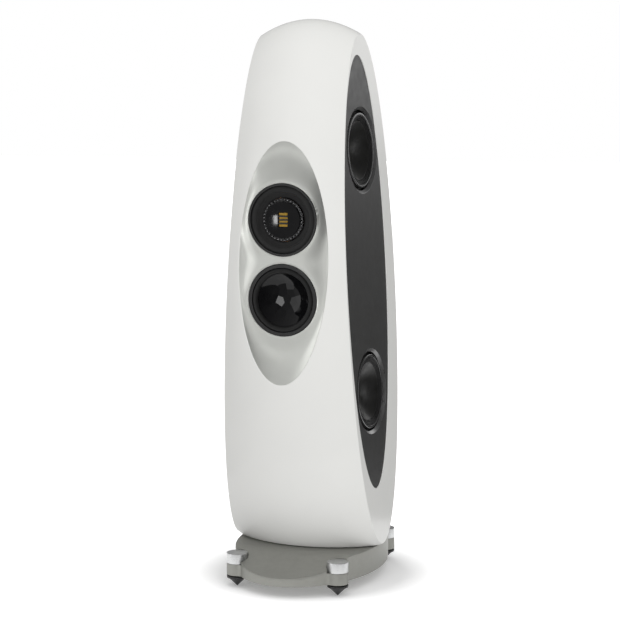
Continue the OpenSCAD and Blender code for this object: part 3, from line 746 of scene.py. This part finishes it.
def woofers():
    for side in SIDES:
        for level in WOOFER_AT:
            name, where = f"{side}_{level}", at_woofer(side, level)
            body = f"woofer_{name}"
            # Trim ring, capping the basket's raised rim
            ring = [(TRIM_IN_R - 0.3, SEAT_Z + 2), (TRIM_IN_R - 0.3, TRIM_Z - 1.2)]
            ring += arc((TRIM_IN_R + 0.9, TRIM_Z - 1.2), 1.2, 180, 90)[1:]
            ring += [(TRIM_R - 1.9, TRIM_Z + 0.1)]
            ring += arc((TRIM_R - 1.6, TRIM_Z - 1.8), 1.9, 85, 0)
            ring += [(TRIM_R + 0.3, SEAT_Z + 4.2)]
            turned(f"woofer_trim_{name}", "cabinet", TRIM, ring, where, "panel_graphite")
            # The flange is a real ring, but its black is painted shade for the deep gap between the bevel and
            # the trim.
            flange = [(TRIM_R + 0.2, SEAT_Z + 4.2), (FLANGE_R, SEAT_Z + 4.2)]
            turned(f"woofer_flange_{name}", "cabinet", RUBBER_AND_GAP_SHADE, flange, where, "rubber")
            # Corrugated surround
            steps = 48
            inner, outer = CONE_R + 0.3, TRIM_IN_R - 0.4
            profile = []
            for i in range(steps + 1):
                t = i / steps
                wave = 0.8 * math.sin(math.pi * 3 * t) ** 2
                profile.append((inner + (outer - inner) * t, CONE_Z + (SURROUND_TOP_Z - CONE_Z) * t + wave))
            profile += [(r, h - 1.0) for r, h in profile[::-1]] + profile[:1]
            surround = turned(f"woofer_roll_{name}", None, RUBBER_AND_GAP_SHADE, profile, where, "rubber",
                              [f"woofer_surround_{name}"], sharp=50)
            soften(surround)
            # One-piece bowl cone with a rolled rim
            face = dish(CONE_R - 1.2, CONE_Z - 0.5, CONE_DEPTH - 1, 40)
            bowl = face + arc((CONE_R - 0.7, CONE_Z - 0.7), 0.6, 120, 0) + [(CONE_R - 0.1, CONE_Z - 1.4)]
            bowl += [(r, h - 1.2) for r, h in face[::-1]]
            turned(f"woofer_bowl_{name}", body, CONE, bowl, where, "cone_graphite", [f"woofer_cone_{name}"])


def half_plane(polygon, normal, limit):
    """The part of a convex polygon where normal . p <= limit."""
    out = []
    for p, q in zip(polygon, polygon[1:] + polygon[:1]):
        a, b = normal @ p - limit, normal @ q - limit
        if a <= 0:
            out.append(p)
        if (a < 0 < b) or (b < 0 < a):
            out.append(p + (q - p) * (a / (a - b)))
    return out


def mid_driver():
    where, body = at_front(MID_Z), "mid_diaphragm"
    ring = [(66.9, -6), (66.9, -1.5)] + arc((68.2, -1.5), 1.3, 180, 90)[1:] + [(72.6, -0.2)]
    ring += arc((73.6, -1.4), 1.5, 80, 0) + [(75.1, -4.2)]
    turned("mid_trim", "cabinet", BLACK_METAL, ring, where, "black_metal")
    roll = [(55.0, -6.0)] + arc((61.0, -5.2), 6.0, 176, 4, 18) + [(66.8, -6.0)]
    roll_obj = turned("mid_roll", None, RUBBER_AND_GAP_SHADE, roll, where, "rubber", ["mid_surround"], sharp=60)
    soften(roll_obj)

    # Glossy dish with crystal facets cut into its middle
    rim, depth, radius, facet_r, around = -5.0, 23.5, 54.6, 33.0, 120
    bend = depth / radius ** 2

    def height(r2):
        return rim - depth + bend * r2

    sites = [np.zeros(2)]
    for count, r, offset in ((5, 16.0, 270.0), (10, 29.0, 252.0)):
        for i in range(count):
            t = math.radians(offset + 360 * i / count)
            sites.append(np.array([r * math.cos(t), r * math.sin(t)]))
    disc = [np.array(p) for p in ellipse(facet_r, facet_r, around)]
    build, edge = Build(), {}
    for site in sites:
        cell = disc
        for other in sites:
            if other is not site:
                cell = half_plane(cell, 2 * (other - site), other @ other - site @ site)
        plane = [height(site @ site) + 2 * bend * site @ (p - site) for p in cell]
        points = [(p[0], p[1], h) for p, h in zip(cell, plane)]
        build.add(points, [tuple(range(len(points)))], where=where)
        for p, h in zip(cell, plane):
            if abs(np.hypot(*p) - facet_r) < 1e-3:
                edge[int(round(math.degrees(math.atan2(p[1], p[0])) % 360 / 3)) % around] = h
    rows, points = [], []
    for k in range(15):
        t = k / 14
        r = facet_r + (radius - facet_r) * t
        rows.append(list(range(len(points), len(points) + around)))
        for i in range(around):
            drop = (edge.get(i, height(facet_r ** 2)) - height(facet_r ** 2)) * (1 - t) ** 3
            angle = math.radians(3 * i)
            points.append((r * math.cos(angle), r * math.sin(angle), height(r * r) + drop))
    build.add(points, stitch(rows, flip=True), where=where)
    back = [(r, h - 1.0) for r, h in dish(radius, rim, depth, 20)[::-1]]
    build.add(*lathe([(radius, rim)] + back, around), where=where)
    build.piece("mid_crystal_cone", body, [GLOSS_BLACK], "cone_gloss", ["mid_cone"], sharp=3)


def coax_driver():
    where, body = at_front(COAX_Z), "coax_diaphragm"
    ring = [(69.9, -4.2), (69.9, -1.6)] + arc((71.0, -1.6), 1.1, 180, 90)[1:] + [(73.0, -0.3)]
    ring += arc((73.7, -1.4), 1.4, 80, 0) + [(75.1, -4.2)]
    turned("coax_trim", "cabinet", BLACK_METAL, ring, where, "black_metal")
    steps = 24
    flat = [(56.9, -4.2)]
    for i in range(steps + 1):
        flat.append((57 + 12.7 * i / steps, -3.4 + 2.0 * math.sin(math.pi * i / steps) ** 0.8))
    flat.append((69.7, -4.4))
    roll = turned("coax_roll", None, SURROUND, flat, where, "rubber", ["coax_surround"], sharp=60)
    soften(roll)
    cone = [(44.7, -10.0), (44.7, -9.3), (45.4, -8.6), (49.0, -7.4), (52.6, -6.0), (54.2, -4.6), (55.6, -3.6),
            (56.7, -3.3), (56.7, -4.4), (52.0, -7.4), (44.7, -10.0)]
    turned("coax_ring_cone", body, SURROUND, cone, where, "cone_graphite", ["coax_cone"], sharp=60)
    # Shallow gloss dish of the tweeter, with its window and bars
    around = 120
    outer_r = SLOT_INNER_R - 0.4

    def face(r):
        return -2.8 + DISH_RISE * (r / outer_r) ** 2

    points, rows = [(0.0, 0.0, face(0))], []
    for k in range(1, steps + 1):
        r = outer_r * k / steps
        rows.append(list(range(len(points), len(points) + around)))
        points.extend((r * math.cos(t), r * math.sin(t), face(r))
                      for t in full_turn(around))
    points = np.array(points)
    normals = unit(np.column_stack([points[:, :2] * (-2 * DISH_RISE / outer_r ** 2), np.ones(len(points))]))
    faces = [(0, rows[0][i], rows[0][(i + 1) % around]) for i in range(around)] + stitch(rows, flip=True)

    def keep(p):
        return box_distance(p[..., 0], p[..., 1], WINDOW[0] / 2, WINDOW[1] / 2, 2)

    build = Build()
    points, normals, faces = tidy(*cut_hole(build, (points, normals, faces), keep, 0.5, 3.0, (0, 0, -1.0),
                                            where=where))
    build.add(points, faces, normals, where=where)
    circle = ellipse(1, 1, around)
    rim, rim_n = [], []
    for r, z, side, up in ((outer_r, face(outer_r), 0.1, 1.0), (outer_r + 0.3, face(outer_r) - 0.3, 0.8, 0.6),
                           (outer_r + 0.35, face(outer_r) - 3.5, 1.0, 0.0)):
        rim.append(raised(r * circle, z))
        rim_n.append(raised(side * circle, up))
    build.add(np.concatenate(rim), bands(3, around, flip=True), unit(np.concatenate(rim_n)), where=where)
    build.piece("tweeter_dish", "cabinet", [GLOSS_BLACK], "cone_gloss")


def slot_pins():
    """Small bright pins between the slots of the ring round the tweeter."""
    build, count = Build(), 36
    turn, shift = at_front(COAX_Z)
    pin = lathe([(0.0, PIN_R)] + arc((0, 0), PIN_R, 60, 0, 3) + [(PIN_R, -0.2)], 10)
    for i in range(count):
        t = 2 * math.pi * (i + 0.5) / count
        foot = np.array([PIN_AT * math.cos(t), PIN_AT * math.sin(t), SLOT_TOP])
        build.add(*pin, where=(turn, shift + turn @ foot))
    build.piece("coax_slot_pins", "cabinet", [STEEL], "black_metal", sharp=60)


def tweeter_bars():
    """Rounded bars across the ribbon, which leave four strips of foil."""
    build = Build()
    for i in (-1, 0, 1):
        y = BAR_PITCH * i
        outline = arc((y - 1.1, BAR_Z), 0.7, 180, 90, 4) + arc((y + 1.1, BAR_Z), 0.7, 90, 0, 4)
        outline += [(y + 1.8, BAR_Z - BAR_H), (y - 1.8, BAR_Z - BAR_H)]
        points = [(x, *place) for x in (-BAR_HALF, BAR_HALF) for place in outline]
        build.add(points, bands(2, len(outline), flip=True), where=at_front(COAX_Z))
    build.piece("tweeter_bars", "cabinet", [BLACK], "black_plastic")


# ---- base


def smooth_union(a, b, k):
    h = np.clip(0.5 + 0.5 * (b - a) / k, 0, 1)
    return b * (1 - h) + a * h - k * h * (1 - h)


def oval_distance(x, y):
    """Rough distance outside the plinth's oval."""
    k = np.hypot(x / PLATE_A, y / PLATE_B)
    slope = np.hypot(x / PLATE_A ** 2, y / PLATE_B ** 2) / np.maximum(k, 1e-6)
    return (k - 1) / np.maximum(slope, 1e-6)


def foot_distance(x, y):
    """Distance from the middle of the nearest foot."""
    return np.min([np.hypot(x - cx, y - cy) for cx, cy in CORNERS.values()], axis=0)


def plate_distance(x, y):
    """Rough distance outside the plinth's outline with its rounded bosses."""
    return smooth_union(oval_distance(x, y), foot_distance(x, y) - FOOT_R + 0.1, 9.0)


def top_z(y):
    """Height of the plinth's top: flat in the middle, with a scooped ramp down to the front and rear rims."""
    t = (PLATE_B - np.abs(y)) / RAMP_L
    ramp = RIM_Z + (PLATE_TOP - RIM_Z) * ((1 - RAMP_BEND) * t + RAMP_BEND * t * t)
    return smooth_union(ramp, PLATE_TOP + 0 * y, 7.0)


def shelf_z(y):
    """Height where the upper part of the plinth meets the lower part with the bosses."""
    return np.minimum(BOSS_Z, top_z(y) - 3)


def plinth_face(drop, inset):
    """The plinth's top, lowered and drawn in, and the loops round it and round the port."""
    step, e = 3.0, 0.05
    xs = np.arange(-PLATE_A - step, PLATE_A + 2 * step, step)
    ys = np.arange(-PLATE_B - step, PLATE_B + 2 * step, step)
    xx, yy = np.meshgrid(xs, ys, indexing="ij")
    slope = (top_z(yy + e) - top_z(yy - e)) / (2 * e)
    points = np.stack([xx, yy, top_z(yy) - drop], -1).reshape(-1, 3)
    normals = unit(np.stack([0 * xx, -slope, 1 + 0 * xx], -1)).reshape(-1, 3)
    faces = grid_faces(len(xs), len(ys))

    def keep_edge(p):
        x, y = p[..., 0], p[..., 1]
        pocket = foot_distance(x, y) - FOOT_R - POCKET_GAP - inset
        return smooth_union(-oval_distance(x, y) - inset, pocket, 3.0)

    def keep_port(p):
        return np.hypot(p[..., 0], p[..., 1] - PORT_Y) - PORT_HOLE_R

    loops = []
    for keep in (keep_edge, keep_port):
        points, normals, faces, found = clip(points, normals, faces, keep)
        loop = max(found, key=len)
        level = np.tile([0, 0, 1.0], (len(loop), 1))
        loops.append((points[loop], normals[loop], inward_of(keep, points[loop], level)))
    return tidy(points, normals, faces), loops


def base():
    edge, bottom, port_edge = 1.6, 1.0, 0.8
    build = Build()
    # Upper part
    (points, normals, faces), ((rim, rim_n, rim_out), (port, port_n, port_out)) = plinth_face(0.0, edge)
    build.add(points, faces, normals)
    wall = (rim - rim_n * edge)[:, 2] - shelf_z(rim[:, 1])
    roll_edge(build, rim, rim_n, rim_out, edge, 1.0, down=np.column_stack([0 * wall, 0 * wall, -wall]))
    roll_edge(build, port, port_n, port_out, port_edge, PLATE_T - port_edge, down=(0, 0, -1.0))
    # Lower part
    count = 1440
    t = full_turn(count)
    reach = bisect(lambda r: plate_distance(r * np.cos(t), r * np.sin(t)) < 0, np.full(count, 100.0),
                   np.full(count, 300.0))
    outline = np.stack([reach * np.cos(t), reach * np.sin(t)], 1)
    tangent = np.roll(outline, -1, 0) - np.roll(outline, 1, 0)
    out = unit(np.stack([tangent[:, 1], -tangent[:, 0]], 1))
    shelf = shelf_z(outline[:, 1])
    points, normals = [], []
    for inset, z, side, up in ((0.0, shelf, 1, 0), (0.0, PLATE_Z + bottom, 1, 0),
                               (bottom * 0.3, PLATE_Z + bottom * 0.3, 0.7, -0.7), (bottom, PLATE_Z, 0, -1)):
        points.append(raised(outline - out * inset, z))
        normals.append(raised(out * side, up))
    build.add(np.concatenate(points), bands(4, count, flip=True), unit(np.concatenate(normals)))
    flat, faces = fill(outline)
    flat = raised(flat, np.concatenate([shelf, np.full(len(flat) - count, BOSS_Z)]))
    build.add(flat, faces, np.tile([0, 0, 1.0], (len(flat), 1)))
    # Hollow, open underneath
    (points, normals, faces), ((rim, _, rim_out), _) = plinth_face(PLATE_T, PLATE_T)
    build.add(points, [f[::-1] for f in faces], -normals)
    foot = rim * np.array([1.0, 1.0, 0.0]) + np.array([0, 0, PLATE_Z])
    build.add(np.concatenate([rim, foot]), bands(2, len(rim)), np.concatenate([-rim_out, -rim_out]))
    build.add_flat(outline - out * bottom, [foot[:, :2]], PLATE_Z, -1)
    build.piece("plinth_body", "cabinet", [PLATE], "plate_grey", ["base_plate"])
    # Bosses under the foot caps
    bosses = Build()
    for x, y in CORNERS.values():
        profile = [(BORE_R, BOSS_Z), (FOOT_R - 0.7, BOSS_Z)]
        profile += arc((FOOT_R - 0.6, BOSS_Z - 0.6), 0.6, 80, 0, 3)
        profile += [(FOOT_R, PLATE_Z + 1), (FOOT_R - 1, PLATE_Z), (BORE_R, PLATE_Z), (BORE_R, BOSS_Z)]
        bosses.add(*lathe(profile, 96), where=at(x, y))
    bosses.piece("base_bosses", "cabinet", [PLATE], "plate_grey")


def feet():
    for corner, (x, y) in CORNERS.items():
        low = BOSS_Z + 0.3
        cap = [(0.0, low + CAP_H - 3), (BORE_R, low + CAP_H - 3), (BORE_R, low), (FOOT_R - 0.6, low),
               (FOOT_R, low + 0.6), (FOOT_R, low + CAP_H - 0.9)]
        cap += arc((FOOT_R - 0.9, low + CAP_H - 0.9), 0.9, 10, 90, 4) + [(0.0, low + CAP_H)]
        turned(f"foot_cap_{corner}_turned", f"foot_cap_{corner}", BRUSHED, cap[::-1], at(x, y),
               "brushed_aluminium", [f"foot_cap_{corner}"], 96)
        disc = SPIKE_RIM_Z - SPIKE_RIM_H
        spike = [(0.0, BOSS_Z + CAP_H - 5), (SPIKE_R, BOSS_Z + CAP_H - 5), (SPIKE_R, SPIKE_RIM_Z)]
        spike += [(FOOT_R - 0.8, SPIKE_RIM_Z)] + arc((FOOT_R - 0.8, SPIKE_RIM_Z - 0.8), 0.8, 80, 0, 3)
        spike += arc((FOOT_R - 1.2, disc + 1.2), 1.2, 0, -80, 4) + [(FOOT_R - 3, disc)]
        spike += [(TIP_R + 0.2, 1.4)] + arc((0, TIP_R), TIP_R, -20, -90, 4)
        build = Build().add(*lathe(spike, 96), where=at(x, y))
        build.piece(f"foot_spike_{corner}_turned", f"foot_spike_{corner}", [BLACK_METAL], "black_metal",
                    [f"foot_spike_{corner}"])


# ---- carried-over CAD nodes

CAD_MATERIALS = {
    "internal_brace": FIBRE, "mid_chamber": FIBRE, "crossover_board": BOARD, "crossover_parts": COPPER,
    "terminal_tray": BLACK, "terminal_studs": GOLD, "terminal_cap_plus": GOLD, "terminal_cap_minus": GOLD,
    "reflex_port": BLACK, "base_spacers": BLACK_METAL, "base_bolts": STEEL, "foot_washers": STEEL,
    "woofer_baskets": BLACK, "woofer_motors": MAGNET, "mid_basket": BLACK, "mid_motor": MAGNET,
    "mid_coil": COPPER, "mid_spider": CLOTH, "coax_basket": BLACK, "coax_motor": MAGNET, "coax_coil": COPPER,
    "coax_spider": CLOTH, "coax_slot_ring": SLOTS, "tweeter_body": BLACK, "tweeter_ribbon": FOIL,
}
for side in SIDES:
    for level in WOOFER_AT:
        CAD_MATERIALS[f"woofer_coil_{side}_{level}"] = COPPER
        CAD_MATERIALS[f"woofer_spider_{side}_{level}"] = CLOTH


def dress_cad():
    for name, mat in CAD_MATERIALS.items():
        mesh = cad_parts[name].data
        mesh.materials.clear()
        mesh.materials.append(mat)


# ---- camera, studio


def aim(obj, place, direction):
    obj.location = place
    obj.rotation_euler = direction.to_track_quat("-Z", "Y").to_euler()


def camera():
    data = bpy.data.cameras.new("camera")
    data.sensor_width = 36.0
    data.lens = 104.5
    data.clip_end = 60.0
    obj = new_object("camera", data)
    aim(obj, (1.3121, -3.6153, 1.0278), Vector((-0.3404, 0.9331, -0.1165)))
    bpy.context.scene.camera = obj


def softbox(name, place, target, size, power):
    data = bpy.data.lights.new(name, "AREA")
    data.shape = "RECTANGLE"
    data.size, data.size_y = size
    data.energy = power
    obj = new_object(name, data)
    aim(obj, place, Vector(target) - Vector(place))
    obj.visible_camera = obj.visible_glossy = False


def glow_material(name):
    """A new material that only glows: the material, its nodes, its links and its strength."""
    mat, nodes, links, _ = node_tree(name)
    nodes.clear()
    out, glow = new_nodes(nodes, "OutputMaterial", "Emission")
    links.new(glow.outputs["Emission"], out.inputs["Surface"])
    return mat, nodes, links, glow.inputs["Strength"]


def from_middle(nodes, links, scale=(1, 1, 1)):
    """Distance from the object's own middle, with its coordinates scaled."""
    coords, scaled, length = new_nodes(nodes, "TexCoord", "VectorMath", "VectorMath")
    scaled.operation, length.operation = "MULTIPLY", "LENGTH"
    scaled.inputs[1].default_value = scale
    links.new(coords.outputs["Object"], scaled.inputs[0])
    links.new(scaled.outputs["Vector"], length.inputs[0])
    return length.outputs["Value"]


DOME_R = 10.0


def dome(name, slope, level, lowest, hidden_from):
    """A sphere round the stage. Its glow is level in the middle, changes by slope along X, Y and Z, and
    never falls below lowest."""
    mat, nodes, links, strength = glow_material(name)
    coords, dot, add, most = new_nodes(nodes, "TexCoord", "VectorMath", "Math", "Math")
    dot.operation, add.operation, most.operation = "DOT_PRODUCT", "MULTIPLY_ADD", "MAXIMUM"
    dot.inputs[1].default_value = slope
    add.inputs[1].default_value, add.inputs[2].default_value = 1 / DOME_R, level
    most.inputs[1].default_value = lowest
    links.new(coords.outputs["Object"], dot.inputs[0])
    links.new(dot.outputs["Value"], add.inputs[0])
    links.new(add.outputs["Value"], most.inputs[0])
    links.new(most.outputs["Value"], strength)
    turns = np.linspace(0.02, math.pi - 0.02, 24)
    points, faces = lathe([(DOME_R * math.sin(t), -DOME_R * math.cos(t)) for t in turns], 48)
    obj = new_object(name, new_mesh(name, points, faces, [mat]))
    obj.visible_camera = obj.visible_transmission = obj.visible_volume_scatter = False
    setattr(obj, hidden_from, False)
    obj.visible_shadow = hidden_from == "visible_glossy"


def card(name, place, target, size, glow, soft=False):
    """A glowing rectangle that only reflections see. A soft one fades towards its edges."""
    mat, nodes, links, strength = glow_material(name)
    strength.default_value = glow
    x, y = size[0] / 2, size[1] / 2
    if soft:
        away = from_middle(nodes, links, (1 / x, 1 / y, 0))
        links.new(map_range(nodes, links, away, (0.35, 1.0), (glow, 0.0), "SMOOTHSTEP"), strength)
    corners = [(-x, -y, 0), (x, -y, 0), (x, y, 0), (-x, y, 0)]
    obj = new_object(name, new_mesh(name, corners, [(0, 1, 2, 3)], [mat]))
    aim(obj, place, Vector(target) - Vector(place))
    obj.visible_camera = obj.visible_diffuse = obj.visible_shadow = False
    obj.visible_transmission = obj.visible_volume_scatter = False


def pale_floor():
    """A pale floor, in a near part that reflections see and a far part that they don't."""
    mat, nodes, links, shader = node_tree("studio_floor")
    shader.inputs["Base Color"].default_value = (0.92, 0.92, 0.92, 1)
    shader.inputs["Specular IOR Level"].default_value = 0.0
    shader.inputs["Emission Color"].default_value = (1, 1, 1, 1)
    rough = map_range(nodes, links, noise(nodes, links, 3), NOISE_MIDDLE, (0.85, 0.95))
    links.new(rough, shader.inputs["Roughness"])
    # Emission grows with distance, so that the floor fades into the white backdrop
    fade = map_range(nodes, links, from_middle(nodes, links), (0.2, 0.36), (0.2, 1.0))
    links.new(fade, shader.inputs["Emission Strength"])
    near, far = 0.6, 25.0
    square = [(-1, -1), (1, -1), (1, 1), (-1, 1)]
    points = [(size * x, size * y, 0) for size in (near, far) for x, y in square]
    for name, faces in (("studio_floor_near", [(0, 1, 2, 3)]),
                        ("studio_floor_far", [(4 + i, 4 + (i + 1) % 4, (i + 1) % 4, i) for i in range(4)])):
        floor = new_object(name, new_mesh(name, points, faces, [mat]))
        floor.visible_diffuse = False
        floor.visible_glossy = name == "studio_floor_near"


def studio():
    scene = bpy.context.scene
    scene.world = bpy.data.worlds.new("studio")
    scene.world.use_nodes = True
    backdrop = scene.world.node_tree.nodes["Background"]
    backdrop.inputs["Color"].default_value = (1, 1, 1, 1)
    backdrop.inputs["Strength"].default_value = 1.0
    scene.view_settings.view_transform = "Standard"
    pale_floor()

    # Two domes: one lights the surfaces, and a darker one is seen in reflections
    dome("studio_light", (0.26, -0.60, 0.14), 0.44, 0.36, "visible_glossy")
    dome("studio_reflections", (-0.42, -0.08, 0.04), 0.29, 0.02, "visible_diffuse")

    # Cards that only reflections see: the left, the right, the back and two windows in front
    card("studio_side_card", (-2.3, -1.55, 0.75), (0.0, -0.18, 0.7), (2.6, 2.6), 2.2, True)
    card("studio_bowl_card", (2.8, 0.6, 0.65), (0.1, -0.05, 0.65), (0.4, 2.4), 7.0, True)
    card("studio_back_card", (1.4, 4.0, 1.7), (0.1, 0.0, 1.2), (4.4, 2.0), 1.8, True)
    card("studio_window_high", (-0.95, -3.2, 0.57), (0.0, -0.18, 0.78), (0.11, 0.2), 30.0)
    card("studio_window_low", (0.3, -3.2, 0.73), (0.0, -0.2, 0.617), (0.2, 0.3), 9.0)

    middle = (0.0, -0.05, 0.65)
    softbox("key", (1.6, -2.6, 3.0), middle, (1.0, 1.0), 6)
    softbox("top", (-0.3, -0.6, 3.4), middle, (2.2, 1.6), 9)


camera()
cabinet()
waveguide()
side_panels()
woofers()
mid_driver()
coax_driver()
tweeter_bars()
slot_pins()
base()
feet()
dress_cad()
studio()
